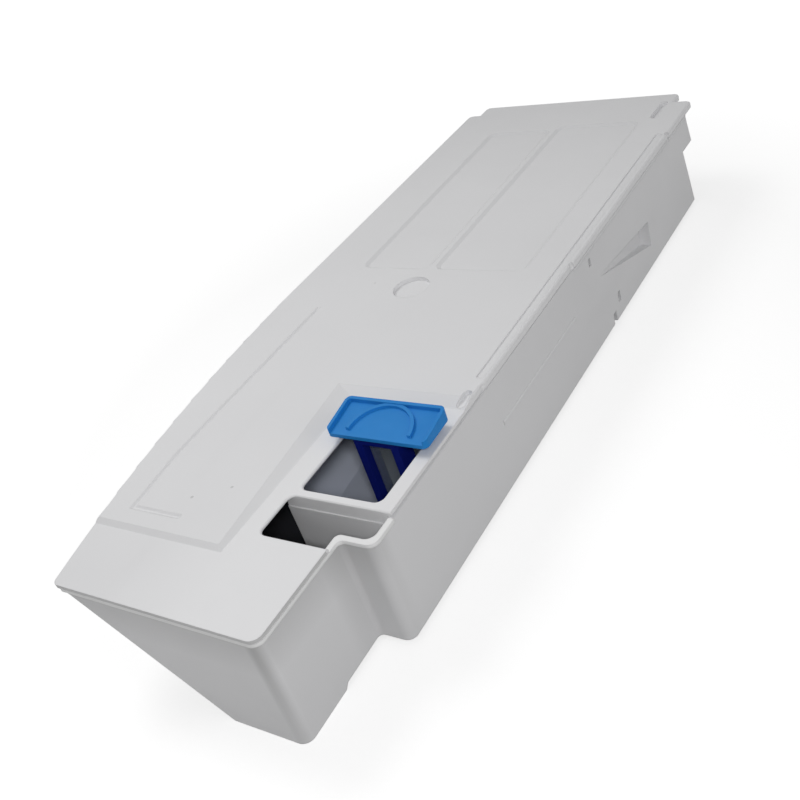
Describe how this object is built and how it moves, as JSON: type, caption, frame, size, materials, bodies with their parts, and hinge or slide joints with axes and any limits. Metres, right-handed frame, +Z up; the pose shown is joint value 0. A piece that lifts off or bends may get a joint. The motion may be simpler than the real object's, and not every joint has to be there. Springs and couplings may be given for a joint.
{
  "type": "dryer water tank",
  "caption": "Long flat drawer tank that collects condensate in a dryer, with a slanted side, a welded cover, an inlet notch and a pull-out filter.",
  "frame": {"origin": "centre of the bounding box in plan, on the surface that the tank stands on", "axes": "+Y towards the drawer front, +Z up out of the cover, +X to the side with the inlet notch and the filter"},
  "size_m": [0.174, 0.504, 0.0803],
  "materials": {
    "tank_plastic": "white moulded polypropylene, fine satin grain",
    "cover_plastic": "white moulded polypropylene, fine satin grain",
    "filter_plastic": "bright blue moulded plastic, satin",
    "filter_mesh": "dark grey woven nylon sieve"
  },
  "bodies": {
    "tank": {"tank_body": "tank_plastic", "top_cover": "cover_plastic"},
    "filter": {"filter_frame": "filter_plastic", "filter_mesh": "filter_mesh"}
  },
  "joints": [
    {"name": "filter_pull", "type": "slide", "parent": "tank", "child": "filter", "axis": [0, 0, 1], "range_m": [0, 0.075]}
  ]
}
